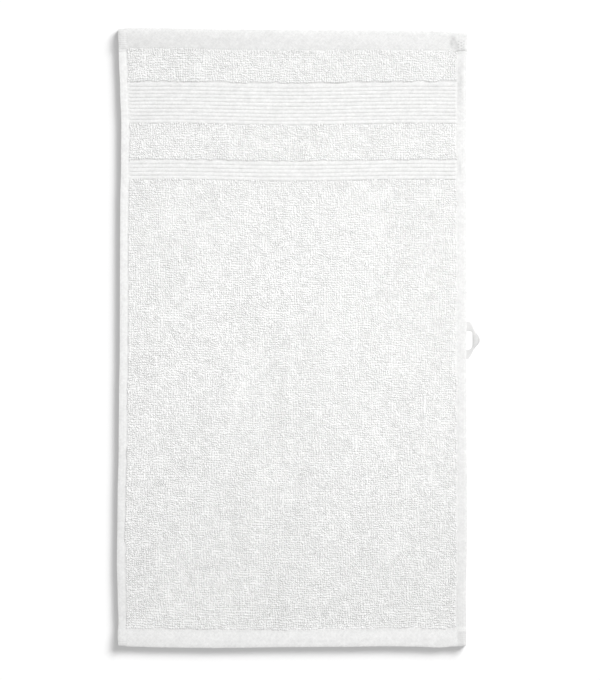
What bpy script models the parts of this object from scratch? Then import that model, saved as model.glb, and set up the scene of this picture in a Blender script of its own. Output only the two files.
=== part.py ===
"""A terry towel lying flat: one woven cloth with two ribbed borders and folded hems, and a hanging loop.

The frame is +Z up, with +Y along the towel towards its bordered end and +X towards the loop. The origin is in
the middle of the towel's outline, loop included, on the surface that it lies on. Sizes are in metres.
"""

import math
from collections import namedtuple

import bmesh
import bpy

MM = 0.001

# The cloth's size and the heights of its top above the surface it lies on
WIDTH = 0.507
LENGTH = 0.900
TERRY_HEIGHT = 0.0034
BORDER_HEIGHT = 0.0017
RIB_HEIGHT = 0.0009

# The ribbed borders: where each starts, as a distance from the bordered end, and its ribs. The first is wider
Border = namedtuple("Border", "start ribs pitch extra")
BORDERS = (Border(0.0772, 11, 0.00533, 0.0017), Border(0.1915, 5, 0.00560, 0.0))
RIB_SHOULDER = 0.3
PILE_SLOPE = 0.0030

# The edge is a fold: it stands out furthest a little above the surface, over a flat underside
UNDERSIDE_INSET = 0.0008
CORNER_ROUNDING = 0.0009
HEM_CROSSING = 0.0005
CROSSING_EDGE = 0.0040

# The grid of the top face
ROW_PITCH = 0.027
COLUMN_PITCH = 0.029

# Unevenness of the pile, as crossed waves: how deep, how long, which way in radians, and where they start
Swell = namedtuple("Swell", "depth length turn start")
SWELLS = (
    Swell(0.00012, 0.210, 0.4, 1.2),
    Swell(0.00009, 0.137, 1.9, 5.7),
    Swell(0.00007, 0.096, 2.8, 8.4),
)

# The creases of a towel that was folded in four, and the way the weft bows
CREASE_DEPTH = 0.00020
CREASE_WIDTH = 0.012
CREASE_SHARE = 1.4
CROSS_CREASE_FROM_END = 0.462
WEFT_BOW = 0.0013
WEFT_BOW_LENGTH = 0.372
EDGE_REACH = 0.060

# One step of a hem's profile, in millimetres: how far in from the edge, and how high.
# The bordered end's hem is a little wider than the end hems' profile.
HemStep = namedtuple("HemStep", "inward high")
BORDERED_HEM_SHARE = 1.17
END_HEM = (
    HemStep(0.0, 1.1),
    HemStep(1.7, 2.15),
    HemStep(4.5, 2.65),
    HemStep(10.0, 2.85),
    HemStep(15.7, 2.75),
    HemStep(20.0, 2.4),
    HemStep(23.7, 1.9),
    HemStep(26.4, 1.4),
)
LEFT_HEM = (
    HemStep(0.0, 1.1),
    HemStep(1.3, 2.1),
    HemStep(4.0, 2.6),
    HemStep(9.7, 2.3),
    HemStep(13.5, 1.5),
)
RIGHT_HEM = (
    HemStep(0.0, 1.1),
    HemStep(1.3, 2.1),
    HemStep(4.5, 2.6),
    HemStep(11.4, 2.3),
    HemStep(15.5, 1.5),
)

# A row of points across the top face, and a point in such a row
Row = namedtuple("Row", "from_end height is_pile")
Column = namedtuple("Column", "x hem inward")

# How an edge wanders, in millimetres: how far along it, and how far it stands out from the straight line
EdgeStep = namedtuple("EdgeStep", "along out")
LEFT_EDGE = (
    EdgeStep(0, 1.0),
    EdgeStep(18, 1.6),
    EdgeStep(34, 0.5),
    EdgeStep(65, 1.6),
    EdgeStep(120, 2.8),
    EdgeStep(210, 1.9),
    EdgeStep(290, 0.3),
    EdgeStep(360, -0.2),
    EdgeStep(430, -1.3),
    EdgeStep(540, -1.6),
    EdgeStep(650, -2.0),
    EdgeStep(690, -3.1),
    EdgeStep(765, -3.5),
    EdgeStep(812, -1.8),
    EdgeStep(865, 0.1),
    EdgeStep(900, 1.2),
)
RIGHT_EDGE = (
    EdgeStep(0, 1.1),
    EdgeStep(25, 1.7),
    EdgeStep(68, 0.9),
    EdgeStep(105, 1.8),
    EdgeStep(150, 2.5),
    EdgeStep(200, 2.8),
    EdgeStep(244, 2.6),
    EdgeStep(300, 1.9),
    EdgeStep(375, 2.0),
    EdgeStep(419, 1.3),
    EdgeStep(500, 2.2),
    EdgeStep(560, 2.1),
    EdgeStep(620, 1.9),
    EdgeStep(682, 1.5),
    EdgeStep(726, 1.1),
    EdgeStep(770, 1.6),
    EdgeStep(830, 1.8),
    EdgeStep(862, 1.9),
    EdgeStep(872, 3.3),
    EdgeStep(891, 3.6),
    EdgeStep(900, 2.6),
)
BORDERED_END = (
    EdgeStep(0, 2.0),
    EdgeStep(17, 3.4),
    EdgeStep(68, 3.4),
    EdgeStep(104, 2.4),
    EdgeStep(141, 1.5),
    EdgeStep(214, 1.3),
    EdgeStep(250, 0.5),
    EdgeStep(290, 0.3),
    EdgeStep(360, 0.2),
    EdgeStep(397, -0.5),
    EdgeStep(470, -1.2),
    EdgeStep(491, -3.8),
    EdgeStep(507, -3.9),
)
PLAIN_END = (
    EdgeStep(0, 0.4),
    EdgeStep(22, 1.8),
    EdgeStep(68, 2.9),
    EdgeStep(104, 3.4),
    EdgeStep(141, 3.8),
    EdgeStep(177, 3.3),
    EdgeStep(250, 2.4),
    EdgeStep(324, 2.0),
    EdgeStep(396, 1.3),
    EdgeStep(433, 1.7),
    EdgeStep(470, 3.0),
    EdgeStep(491, 1.4),
    EdgeStep(507, 0.8),
)

# The loop: a tape sewn into the side hem at both ends, bent round flat and rucked up where it turns.
# Each row is a section across the tape, in millimetres: its outer and inner edge measured out from the hem
# and along it from the loop's middle, then the height of its edges and of its crown.
LOOP_FROM_PLAIN_END = 0.446
LOOP_UNDERSIDE = 0.0007
ROOT_DEPTH = 0.009
ROOT_CLEARANCE = 0.0003
ROOT_TOP = 1.5
TapeStep = namedtuple("TapeStep", "outer_out outer_along inner_out inner_along edge_high crown_high")
TAPE = (
    TapeStep(-9.0, 27.8, -9.0, 14.0, ROOT_TOP, ROOT_TOP),
    TapeStep(0.8, 27.8, 0.8, 14.0, ROOT_TOP, ROOT_TOP),
    TapeStep(5.3, 26.4, 4.6, 13.9, 1.5, 1.8),
    TapeStep(8.8, 21.4, 7.2, 13.2, 1.5, 2.1),
    TapeStep(11.3, 16.2, 8.5, 11.6, 1.5, 2.7),
    TapeStep(15.2, 10.2, 8.8, 8.6, 1.6, 3.4),
    TapeStep(18.2, 4.8, 8.8, 4.5, 1.6, 3.8),
    TapeStep(19.1, 0.2, 8.8, 0.0, 1.6, 3.8),
    TapeStep(17.3, -4.6, 8.8, -4.5, 1.6, 3.6),
    TapeStep(13.4, -9.3, 8.5, -7.9, 1.6, 3.1),
    TapeStep(9.7, -14.6, 7.4, -10.4, 1.5, 2.5),
    TapeStep(7.7, -19.2, 5.6, -12.2, 1.5, 2.0),
    TapeStep(4.2, -24.6, 3.4, -13.2, 1.5, 1.8),
    TapeStep(0.8, -27.2, 0.8, -13.8, ROOT_TOP, ROOT_TOP),
    TapeStep(-9.0, -27.2, -9.0, -13.8, ROOT_TOP, ROOT_TOP),
)

CLOTH_COLOUR = (0.90, 0.90, 0.89, 1.0)
TAPE_COLOUR = (0.86, 0.86, 0.85, 1.0)


def clear_scene():
    """Removes what the new file came with."""
    for thing in list(bpy.data.objects):
        bpy.data.objects.remove(thing, do_unlink=True)


def eased(share):
    """0 to 1 with level ends."""
    share = min(1.0, max(0.0, share))
    return share * share * (3.0 - 2.0 * share)


def table_value(rows, column, at, value):
    """The value of a table at a place between its rows, both columns in millimetres."""
    place = at / MM
    before = rows[0]
    for row in rows:
        if getattr(row, column) >= place:
            span = getattr(row, column) - getattr(before, column)
            share = (place - getattr(before, column)) / span if span else 0.0
            start = getattr(before, value)
            return (start + (getattr(row, value) - start) * eased(share)) * MM
        before = row
    return getattr(rows[-1], value) * MM


def edge_out(rows, along):
    """How far an edge stands out from its straight line at a place along it."""
    return table_value(rows, "along", along, "out")


def spread(first, last, pitch, crease):
    """Even marks from first to last, with a crease's middle and sides in place of the marks close by."""
    steps = max(1, round((last - first) / pitch))
    marks = [first + (last - first) * step / steps for step in range(steps + 1)]
    if first + CREASE_WIDTH < crease < last - CREASE_WIDTH:
        marks = [mark for mark in marks if abs(mark - crease) > CREASE_WIDTH * CREASE_SHARE]
        marks += [crease - CREASE_WIDTH, crease, crease + CREASE_WIDTH]
    return sorted(marks)


def pile_rows(start, end):
    """Rows of a stretch of pile, which slopes down to the flat weave at both ends."""
    marks = spread(start + PILE_SLOPE, end - PILE_SLOPE, ROW_PITCH, CROSS_CREASE_FROM_END)
    return [Row(mark, TERRY_HEIGHT, True) for mark in marks]


def border_end(border):
    """Where a border ends, as a distance from the bordered end."""
    return border.start + border.extra + border.ribs * border.pitch


def border_rows(border):
    """Rows of a flat woven border: a groove before each rib, and the rib's two shoulders."""
    low = BORDER_HEIGHT
    high = BORDER_HEIGHT + RIB_HEIGHT
    rows = []
    groove = border.start
    for rib in range(border.ribs):
        width = border.pitch + (border.extra if rib == 0 else 0.0)
        rows.append(Row(groove, low, False))
        rows.append(Row(groove + RIB_SHOULDER * width, high, False))
        rows.append(Row(groove + (1.0 - RIB_SHOULDER) * width, high, False))
        groove += width
    rows.append(Row(border_end(border), low, False))
    return rows


def cloth_rows():
    """All rows of the top face, from the bordered end. A hem's rows get their height from its profile."""
    rows = [Row(step.inward * MM * BORDERED_HEM_SHARE, 0.0, False) for step in END_HEM]
    pile_start = rows[-1].from_end
    for border in BORDERS:
        rows += pile_rows(pile_start, border.start)
        rows += border_rows(border)
        pile_start = border_end(border)
    rows += pile_rows(pile_start, LENGTH - END_HEM[-1].inward * MM)
    rows += [Row(LENGTH - step.inward * MM, 0.0, False) for step in reversed(END_HEM)]
    return rows


def field_limits(left, right):
    """Where the full height of the cloth between the side hems starts and ends, for two edges."""
    return left + LEFT_HEM[-1].inward * MM + PILE_SLOPE, right - RIGHT_HEM[-1].inward * MM - PILE_SLOPE


def cloth_columns(along):
    """The points across the cloth at a distance from its plain end: each place, side hem and depth in it."""
    left = -WIDTH / 2 - edge_out(LEFT_EDGE, along)
    right = WIDTH / 2 + edge_out(RIGHT_EDGE, along)
    columns = [Column(left + step.inward * MM, LEFT_HEM, step.inward * MM) for step in LEFT_HEM]
    first, last = field_limits(-WIDTH / 2, WIDTH / 2)
    actual_first, actual_last = field_limits(left, right)
    for mark in spread(first, last, COLUMN_PITCH, 0.0):
        share = (mark - first) / (last - first)
        columns.append(Column(actual_first + (actual_last - actual_first) * share, None, None))
    columns += [Column(right - step.inward * MM, RIGHT_HEM, step.inward * MM) for step in reversed(RIGHT_HEM)]
    return columns


def swell(x, y):
    """Soft unevenness of the pile and its fold creases, as a height to add."""
    height = 0.0
    for wave in SWELLS:
        turns = 2.0 * math.pi / wave.length
        ahead = x * math.cos(wave.turn) + y * math.sin(wave.turn)
        beside = y * math.cos(wave.turn) - x * math.sin(wave.turn)
        height += wave.depth * (math.sin(turns * ahead + wave.start) + math.sin(turns * beside - wave.start))
    from_cross_crease = abs(y - (LENGTH / 2 - CROSS_CREASE_FROM_END))
    height -= CREASE_DEPTH * (1.0 - eased(from_cross_crease / CREASE_WIDTH))
    height -= CREASE_DEPTH * (1.0 - eased(abs(x) / CREASE_WIDTH))
    return height


def top_height(row, column, x, y):
    """The height of the cloth's top face, where two hems cross, in one hem, or between them."""
    end_inward = min(row.from_end / BORDERED_HEM_SHARE, LENGTH - row.from_end)
    in_end_hem = end_inward < END_HEM[-1].inward * MM + PILE_SLOPE / 2
    if in_end_hem and column.hem:
        side = table_value(column.hem, "inward", column.inward, "high")
        end = table_value(END_HEM, "inward", end_inward, "high")
        return min(side, end) + HEM_CROSSING * eased(min(column.inward, end_inward) / CROSSING_EDGE)
    if column.hem:
        return table_value(column.hem, "inward", column.inward, "high")
    if in_end_hem:
        return table_value(END_HEM, "inward", end_inward, "high")
    return row.height + (swell(x, y) if row.is_pile else 0.0)


def row_place(from_end, x):
    """Where a row lies at x: hems follow the ends' wandering, and the weft between them bows."""
    across = min(WIDTH, max(0.0, x + WIDTH / 2))
    near_reach = max(0.0, 1.0 - from_end / EDGE_REACH)
    far_reach = max(0.0, 1.0 - (LENGTH - from_end) / EDGE_REACH)
    bow = WEFT_BOW * math.cos(2.0 * math.pi * x / WEFT_BOW_LENGTH) * (1.0 - near_reach) * (1.0 - far_reach)
    y = LENGTH / 2 - from_end - bow
    return y + near_reach * edge_out(BORDERED_END, across) - far_reach * edge_out(PLAIN_END, across)


def cloth_mesh(name):
    """The cloth as one closed skin: a modelled top face, folded edges and a flat underside."""
    mesh = bmesh.new()
    grid = []
    for row in cloth_rows():
        points = []
        for column in cloth_columns(LENGTH - row.from_end):
            y = row_place(row.from_end, column.x)
            z = top_height(row, column, column.x, y)
            points.append(mesh.verts.new((column.x, y, z)))
        grid.append(points)
    round_corners(grid)
    for upper, lower in zip(grid, grid[1:]):
        for column in range(len(upper) - 1):
            mesh.faces.new((upper[column], lower[column], lower[column + 1], upper[column + 1]))
    add_underside(mesh, grid)
    bmesh.ops.recalc_face_normals(mesh, faces=mesh.faces)
    data = bpy.data.meshes.new(name)
    mesh.to_mesh(data)
    mesh.free()
    return data


def round_corners(grid):
    """Draws each corner point in, so that the corners aren't sharp."""
    for row in (grid[0], grid[-1]):
        for corner in (row[0], row[-1]):
            corner.co.x -= math.copysign(CORNER_ROUNDING, corner.co.x)
            corner.co.y -= math.copysign(CORNER_ROUNDING, corner.co.y)


def add_underside(mesh, grid):
    """Folds the edge under to a flat face, which is a fan around its middle."""
    left = [row[0] for row in grid]
    right = [row[-1] for row in grid]
    rim = left + grid[-1][1:-1] + right[::-1] + grid[0][-2:0:-1]
    foot = []
    for vertex in rim:
        x, y, _ = vertex.co
        inset_x = math.copysign(UNDERSIDE_INSET, x) if vertex in left or vertex in right else 0.0
        inset_y = math.copysign(UNDERSIDE_INSET, y) if vertex in grid[0] or vertex in grid[-1] else 0.0
        foot.append(mesh.verts.new((x - inset_x, y - inset_y, 0.0)))
    middle = mesh.verts.new((0.0, 0.0, 0.0))
    for index in range(len(rim)):
        other = (index + 1) % len(rim)
        mesh.faces.new((rim[index], rim[other], foot[other], foot[index]))
        mesh.faces.new((foot[index], foot[other], middle))


def fabric(name, colour, roughness):
    """A plain cloth material."""
    material = bpy.data.materials.new(name)
    material.use_nodes = True
    shader = material.node_tree.nodes["Principled BSDF"]
    shader.inputs["Base Color"].default_value = colour
    shader.inputs["Roughness"].default_value = roughness
    shader.inputs["Metallic"].default_value = 0.0
    return material


def add_object(name, data, material=None):
    """An object in the scene, with its material."""
    thing = bpy.data.objects.new(name, data)
    bpy.context.scene.collection.objects.link(thing)
    if material:
        data.materials.append(material)
    return thing


def loop_origin():
    """The point on the hem's edge at the loop's middle."""
    x = WIDTH / 2 + edge_out(RIGHT_EDGE, LOOP_FROM_PLAIN_END)
    return x, LOOP_FROM_PLAIN_END - LENGTH / 2


def tape_mesh(name):
    """The loop's tape, lofted through its sections."""
    mesh = bmesh.new()
    edge_x, middle_y = loop_origin()
    sections = []
    for step in TAPE:
        outer = (edge_x + step.outer_out * MM, middle_y + step.outer_along * MM)
        inner = (edge_x + step.inner_out * MM, middle_y + step.inner_along * MM)
        middle = ((outer[0] + inner[0]) / 2, (outer[1] + inner[1]) / 2)
        corners = (
            (*outer, LOOP_UNDERSIDE),
            (*outer, step.edge_high * MM),
            (*middle, step.crown_high * MM),
            (*inner, step.edge_high * MM),
            (*inner, LOOP_UNDERSIDE),
        )
        sections.append([mesh.verts.new(corner) for corner in corners])
    for near, far in zip(sections, sections[1:]):
        for corner in range(len(near)):
            other = (corner + 1) % len(near)
            mesh.faces.new((near[corner], near[other], far[other], far[corner]))
    mesh.faces.new(sections[0])
    mesh.faces.new(sections[-1])
    bmesh.ops.recalc_face_normals(mesh, faces=mesh.faces)
    data = bpy.data.meshes.new(name)
    mesh.to_mesh(data)
    mesh.free()
    return data


def root_pocket(name, root):
    """A guide the size of one end of the tape and its clearance, to open the hem's fold for it."""
    edge_x, middle_y = loop_origin()
    low_y = middle_y + min(root.outer_along, root.inner_along) * MM - ROOT_CLEARANCE
    high_y = middle_y + max(root.outer_along, root.inner_along) * MM + ROOT_CLEARANCE
    low_x = edge_x - ROOT_DEPTH - ROOT_CLEARANCE
    high_x = edge_x + ROOT_DEPTH
    low_z = LOOP_UNDERSIDE - ROOT_CLEARANCE
    high_z = root.crown_high * MM + ROOT_CLEARANCE
    mesh = bmesh.new()
    bmesh.ops.create_cube(mesh, size=1.0)
    for vertex in mesh.verts:
        vertex.co.x = high_x if vertex.co.x > 0.0 else low_x
        vertex.co.y = high_y if vertex.co.y > 0.0 else low_y
        vertex.co.z = high_z if vertex.co.z > 0.0 else low_z
    data = bpy.data.meshes.new(name)
    mesh.to_mesh(data)
    mesh.free()
    guide = add_object(name, data)
    guide.hide_render = True
    guide.display_type = "WIRE"
    return guide


def outline_middle(things):
    """The middle of the outline of some objects, seen from above."""
    points = [thing.matrix_world @ vertex.co for thing in things for vertex in thing.data.vertices]
    middle_x = (min(point.x for point in points) + max(point.x for point in points)) / 2
    middle_y = (min(point.y for point in points) + max(point.y for point in points)) / 2
    return middle_x, middle_y


def build_towel():
    """Both pieces of the towel, placed in the towel's frame."""
    clear_scene()
    cloth = add_object("towel_cloth", cloth_mesh("towel_cloth"), fabric("terry_cotton", CLOTH_COLOUR, 0.95))
    loop = add_object("hanging_loop", tape_mesh("hanging_loop"), fabric("cotton_tape", TAPE_COLOUR, 0.85))
    guides = [root_pocket("upper_root_guide", TAPE[0]), root_pocket("lower_root_guide", TAPE[-1])]
    for guide in guides:
        cut = cloth.modifiers.new(guide.name, "BOOLEAN")
        cut.operation = "DIFFERENCE"
        cut.object = guide
    middle_x, middle_y = outline_middle([cloth, loop])
    for thing in (cloth, loop, *guides):
        thing.location.x = -middle_x
        thing.location.y = -middle_y


build_towel()
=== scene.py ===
"""The looks of a terry towel lying flat: woven ground and hems, loop pile, stitching and a tape hanging loop.

Sizes are in metres. A shape is worked out about the middle of the cloth, with +Y towards its bordered end and
+X towards the loop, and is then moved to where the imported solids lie.
"""

import math
from collections import namedtuple

import bpy
import numpy as np
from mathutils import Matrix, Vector


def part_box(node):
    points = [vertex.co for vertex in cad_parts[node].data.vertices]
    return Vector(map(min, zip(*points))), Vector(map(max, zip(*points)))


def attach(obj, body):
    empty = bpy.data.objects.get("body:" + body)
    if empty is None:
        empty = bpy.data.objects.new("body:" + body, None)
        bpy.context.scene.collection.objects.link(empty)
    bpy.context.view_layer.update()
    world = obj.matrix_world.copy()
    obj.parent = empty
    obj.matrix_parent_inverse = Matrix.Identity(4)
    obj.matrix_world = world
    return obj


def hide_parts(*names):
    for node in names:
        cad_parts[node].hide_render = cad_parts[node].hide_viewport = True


MM = 0.001
FULL_TURN = 2.0 * math.pi
SEED = 7


def table(columns, *rows):
    """Rows of numbers under named columns."""
    row_type = namedtuple("Row", columns)
    return tuple(row_type(*row) for row in rows)


# The cloth's size and the heights of its top, as in its solid
WIDTH = 0.507
LENGTH = 0.9
TERRY_HEIGHT = 0.0034
BORDER_HEIGHT = 0.0017
RIB_HEIGHT = 0.0009

# The ribbed borders: the first rib of each is wider by extra, and its outer grooves differ in painted shade
BORDERS = table(
    "start ribs pitch extra first_groove last_groove",
    (0.0772, 11, 0.00533, 0.0017, 0.9, 1.5),
    (0.1915, 5, 0.0056, 0.0, 0.1, 2.0),
)
RIB_ROWS = 7
RIB_SHARPNESS = 2.0
RIB_UNEVENNESS = 0.18
RIB_WANDER = 0.05
UNEVEN_WAVES = table("length shift", (0.0062, 2.7), (0.0171, 1.0))
WANDER_WAVES = table("length shift", (0.0093, 2.1), (0.031, 1.3))
GROOVE_SHARPNESS = 5.0
LAST_RIB_INSET = 1e-6

# The dashes that make the painted shade in a border's grooves uneven
DASH_MEAN = 0.8
DASHES = table("length share", (0.022, 0.55), (0.007, 0.3))
DASH_ROWS = 16

# The trench on either side of a border, where the pile ends
TRENCH_WIDTH = 0.0016
TRENCH_HEIGHT = 0.0013
TRENCH_SLOPE = 0.0004

# The woven ground that the loops stand on
GROUND_HEIGHT = 0.0023
GROUND_ROW_PITCH = 0.0038
GROUND_COLUMN_PITCH = 0.0021
HEM_ROW_PITCH = 0.0014
WIDE_CELLS = 10

# The folded edge and the corners
UNDERSIDE_INSET = 0.0008
UNDERSIDE_BEND = 0.00045
BEND_SHARE = 0.25
UNDERSIDE_CELLS = 34
CORNER_RADIUS = 0.0026
HEM_CROSSING = 0.0005
CROSSING_EDGE = 0.004
FOLD_REACH = 0.003

# The hems' diamond weave
DIAMOND_DEPTH = 0.00012
DIAMOND_PITCH = 0.0078
DIAMOND_FADE = 0.0025
DIAMOND_WANDER = 0.004
DIAMOND_WANDER_SIZES = (("X", 0.006), ("Y", 0.008))

# Where a corner's weave shows lines across it
LINE_PITCH = 0.003
LINED_CORNERS = table(
    "at_left at_bordered side_reach end_reach strength",
    (True, True, 0.0125, 0.0215, 1.0),
    (True, False, 0.0125, 0.0085, 0.5),
    (False, False, 0.012, 0.022, 0.25),
)

# The proud corner, at the bordered end and the loop's side: a dotted block, a hollow beside it and a step.
# The hollow has painted shade, in blotches, and the step a painted shadow along it.
Hollow = namedtuple("Hollow", "inward from_end across along slant depth dullness")
HOLLOW = Hollow(0.0208, 0.0185, 0.0085, 0.0175, 0.18, 0.0014, 1.35)
HOLLOW_FLOOR = 0.4
HOLLOW_BLOTCHES = 0.75
HOLLOW_BLOTCH_SIZE = 0.0036
BLOCK_RISE = 0.0002
BLOCK_REACH = 0.015
DOT_PITCH_ACROSS = 0.00853
DOT_PITCH_ALONG = 0.0044
DOTS_INWARD = 0.0056
DOTS_FROM_END = 0.0115
DOTS_DULLNESS = 1.0
STEP_FROM_END = 0.0274
STEP_SLANT = 0.15
STEP_DEPTH = 0.0011
STEP_WIDTH = 0.0015
STEP_REACH = 0.0228
STEP_INSET = 0.0028
STEP_PAINTED_SHADOW = 1.3
BARE_REACH = 0.024
BARE_PAST_STEP = 0.0022
STEP_ROWS_START = 0.0245
STEP_ROWS_END = 0.0345
STEP_ROW_PITCH = 0.0008

# Shallow troughs in the hem of the loop's side, beside the two borders, with painted shade in them
TROUGHS = table(
    "inward from_end across along depth dullness",
    (0.0098, 0.08, 0.007, 0.064, 0.00035, 1.05),
    (0.0098, 0.203, 0.0048, 0.022, 0.00025, 0.75),
)

# Puckers that the seams draw into the hems, and the scalloped outline that goes with them
PUCKER_DEPTH = 0.0002
PUCKER_PITCH = 0.0088
PUCKER_SLANT = 0.8
PUCKER_WAVES = table("size length start", (1.3, 0.037, 0.0), (0.9, 0.0171, 2.0))
SIDE_PUCKER_SHARE = 0.5
SIDE_PUCKER_WAVES = table("size length start", (2.0, 0.029, 0.0))
END_PUCKER_FADE = 0.008
SIDE_PUCKER_FADE = 0.004
SCALLOP_DEPTH = 0.00028
SCALLOP_PITCH = 0.0103
SCALLOP_WAVES = table("size length start", (1.7, 0.043, 0.0))
SCALLOP_REACH = 0.01
SIDE_SCALLOP_SHARE = 0.5
SIDE_RIDGE_DEPTH = 0.0001
SIDE_RIDGE_PITCH = 0.0036
SEAM_DEPTH = 0.00045
SEAM_WIDTH = 0.0013
SIDE_SEAM_SHARE = 0.3
END_SEAM = 0.0252
SEAM_FLOOR = 0.0023
LEFT_SEAM = 0.0123
RIGHT_SEAM = 0.0143

# The pile's swells, as crossed waves that are turned by some radians
SWELLS = table(
    "depth length turn start",
    (0.00012, 0.21, 0.4, 1.2),
    (0.00009, 0.137, 1.9, 5.7),
    (0.00007, 0.096, 2.8, 8.4),
)

# The creases of a towel that was folded in four, and the way the weft bows
CREASE_DEPTH = 0.0002
CREASE_WIDTH = 0.012
CROSS_CREASE_FROM_END = 0.462
WEFT_BOW = 0.0013
WEFT_BOW_LENGTH = 0.372
EDGE_REACH = 0.06

# The hems' profiles, in millimetres. The bordered end's hem is END_HEM, wider by a share.
BORDERED_HEM_SHARE = 1.17
END_HEM = table(
    "inward high",
    (0.0, 1.1), (1.7, 2.15), (4.5, 2.65), (10.0, 2.85), (15.7, 2.75), (20.0, 2.4), (23.7, 1.9), (26.4, 1.4),
)
LEFT_HEM = table("inward high", (0.0, 1.1), (1.3, 2.1), (4.0, 2.6), (9.7, 2.3), (13.5, 1.5))
RIGHT_HEM = table("inward high", (0.0, 1.1), (1.3, 2.1), (4.5, 2.6), (11.4, 2.3), (15.5, 1.5))
END_REACH = END_HEM[-1].inward * MM
LEFT_REACH = LEFT_HEM[-1].inward * MM
RIGHT_REACH = RIGHT_HEM[-1].inward * MM
PROFILE_STEPS = 8
HEM_MARKS = (0.0, 0.15, 0.4, 0.8, 1.3, 2.2, 3.4, 4.8)

# How the edges wander, in millimetres
LEFT_EDGE = table(
    "along out",
    (0, 1.0), (18, 1.6), (34, 0.5), (65, 1.6), (120, 2.8), (210, 1.9), (290, 0.3), (360, -0.2), (430, -1.3),
    (540, -1.6), (650, -2.0), (690, -3.1), (765, -3.5), (812, -1.8), (865, 0.1), (900, 1.2),
)
RIGHT_EDGE = table(
    "along out",
    (0, 1.1), (25, 1.7), (68, 0.9), (105, 1.8), (150, 2.5), (200, 2.8), (244, 2.6), (300, 1.9), (375, 2.0),
    (419, 1.3), (500, 2.2), (560, 2.1), (620, 1.9), (682, 1.5), (726, 1.1), (770, 1.6), (830, 1.8),
    (862, 1.9), (872, 3.3), (891, 3.6), (900, 2.6),
)
BORDERED_END = table(
    "along out",
    (0, 2.0), (17, 3.4), (68, 3.4), (104, 2.4), (141, 1.5), (214, 1.3), (250, 0.5), (290, 0.3), (360, 0.2),
    (397, -0.5), (470, -1.2), (491, -3.8), (507, -3.9),
)
PLAIN_END = table(
    "along out",
    (0, 0.4), (22, 1.8), (68, 2.9), (104, 3.4), (141, 3.8), (177, 3.3), (250, 2.4), (324, 2.0), (396, 1.3),
    (433, 1.7), (470, 3.0), (491, 1.4), (507, 0.8),
)

# The pile: how its loops are spaced, shaped and scattered
LOOPS_ACROSS = 145
LOOP_ROW_PITCH = 0.00322
LOOP_JITTER = 0.00065
LOOP_WANDER = 0.0016
WANDER_SIZE = 0.011
YARN_RADIUS = 0.00136
YARN_FLATNESS = 0.6
YARN_UNEVENNESS = 0.0002
YARN_PATCH = 0.00006
YARN_PATCH_SIZE = 0.008
LOOP_HALF_SPAN = 0.00125
LOOP_BELLY = 0.00022
LOOP_BELLY_SHARE = 0.55
LOOP_ROOT = 0.0003
LOWEST_TOP = 0.0003
LOOP_TURN = 0.8
LOOP_TURN_CHANGE = 2.0
TURN_SIZE = 0.013
LOOP_TURN_SCATTER = 0.2
LOOP_LEAN = 0.0003
LOOP_HEIGHT_SCATTER = 0.00016
BORDERED_SINK = 0.001
PLAIN_SINK = 0.0015
HEM_SINK_REACH = 0.0065
CLUMP_SIZES = (0.0055, 0.012)
CLUMP_LEAN = 0.00028
CLUMP_HEIGHT = 0.0002
PILE_EDGE = 0.0007
PILE_GAP = 0.0012
PILE_START = -0.0003
PILE_OVERLAP = 0.0006
PILE_MARGIN = 0.0075
# The ground under the pile is whiter, its own tone. It and the end hems' painted shade are shifted towards
# the plain end: painted light over the shade at the plain end's seam, painted shade on the strip by the
# bordered hem.
PILE_BRIGHTNESS = 0.75
PAINTED_SHADE_SHIFT = 0.002
FIRST_ROWS = (0.15, 0.85, 1.6)
FIELD_PIECES = 4

# Painted shade on the hems against the ground's mean, painted light where it is below zero: the side hems at
# both ends, the plain end's at both sides, and the bordered end's at its fold. That one has more painted
# shade inside and to the left. The lined corners are darker.
LEFT_PAINTED_SHADE = (-0.42, 0.18)
RIGHT_PAINTED_SHADE = (-0.26, 0.14)
PLAIN_PAINTED_SHADE = (-0.04, -0.26)
BORDERED_PAINTED_SHADE = 0.02
INNER_PAINTED_SHADE = 0.52
INNER_REACH = 0.015
CORNER_DARKENING = 0.45

# What smooth noise is used for, each with a pattern of its own, and the cells that it has beyond the cloth
NOISES = (
    "wander across", "wander along", "turn", "lean across", "lean along",
    "height", "grooves", "thickness", "hollow",
)
NOISE_MARGIN = 4

# Lockstitch along the seams
STITCH_PITCH = 0.0031
STITCH_LENGTH = 0.0025
STITCH_RADIUS = 0.00033
STITCH_RISE = 0.00022
STITCH_POINTS = table("share rise", (0.0, -0.8), (0.18, 0.5), (0.5, 1.0), (0.82, 0.5), (1.0, -0.8))
END_SEAM_POINTS = 400
SIDE_SEAM_POINTS = 700
ROOT_SEAM_POINTS = 20
ROOT_SEAMS = (0.0035, 0.0072)
ROOT_SPANS = ((13.0, 29.0), (-29.0, -13.0))
# Painted shade along the seams across the tape's roots, where the stitches press dimples
ROOT_PAINTED_SHADE = 0.35
ROOT_SEAM_WIDTH = 0.001

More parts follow.
